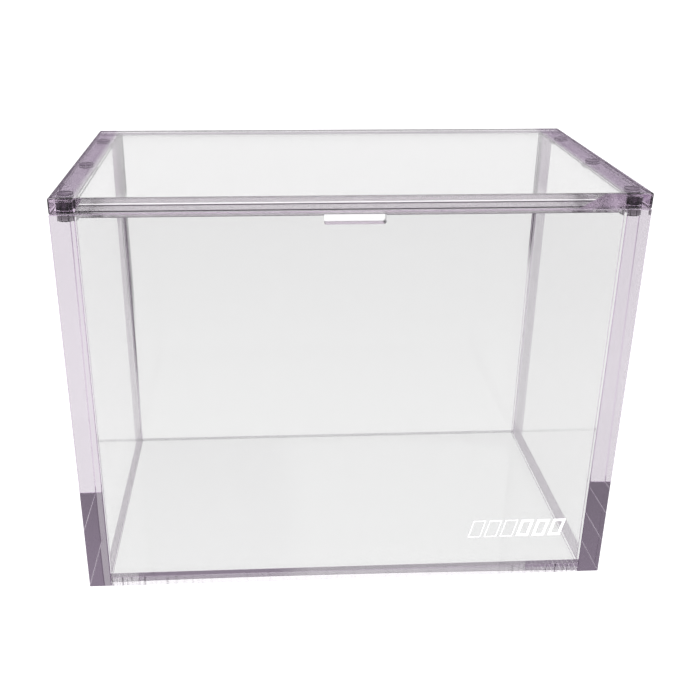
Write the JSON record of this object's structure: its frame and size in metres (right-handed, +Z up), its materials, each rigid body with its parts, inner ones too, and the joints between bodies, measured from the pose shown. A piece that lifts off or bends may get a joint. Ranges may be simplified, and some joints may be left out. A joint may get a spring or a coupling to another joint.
{
  "type": "clear card box with magnetic lid",
  "caption": "Rigid clear acrylic box for standing cards, thick side walls, thumb notch in the front panel, flat lift-off lid with a locating plate, held by disc magnets.",
  "frame": {"origin": "middle of the box's footprint, on the surface it stands on", "axes": "+Z up, +X to the right along the longest side, front panel with the thumb notch at -Y"},
  "size_m": [0.144, 0.081, 0.1105],
  "materials": {
    "acrylic_side_sheet": "clear cast acrylic, polished edges, faint lavender tint",
    "acrylic_panel_sheet": "clear cast acrylic, polished, faint lavender tint",
    "acrylic_lid_sheet": "clear cast acrylic, polished edges, faint lavender tint",
    "magnet_plating": "bright nickel plating"
  },
  "bodies": {
    "box": {"left_wall": "acrylic_side_sheet", "right_wall": "acrylic_side_sheet", "base_plate": "acrylic_panel_sheet", "front_panel": "acrylic_panel_sheet", "back_panel": "acrylic_panel_sheet", "wall_magnet_left_front": "magnet_plating", "wall_magnet_left_middle": "magnet_plating", "wall_magnet_left_back": "magnet_plating", "wall_magnet_right_front": "magnet_plating", "wall_magnet_right_middle": "magnet_plating", "wall_magnet_right_back": "magnet_plating"},
    "lid": {"lid_plate": "acrylic_lid_sheet", "lid_locating_plate": "acrylic_lid_sheet", "lid_magnet_left_front": "magnet_plating", "lid_magnet_left_middle": "magnet_plating", "lid_magnet_left_back": "magnet_plating", "lid_magnet_right_front": "magnet_plating", "lid_magnet_right_middle": "magnet_plating", "lid_magnet_right_back": "magnet_plating"}
  },
  "joints": [
    {"name": "lid_lift", "type": "slide", "parent": "box", "child": "lid", "axis": [0, 0, 1], "range_m": [0, 0.12]}
  ]
}
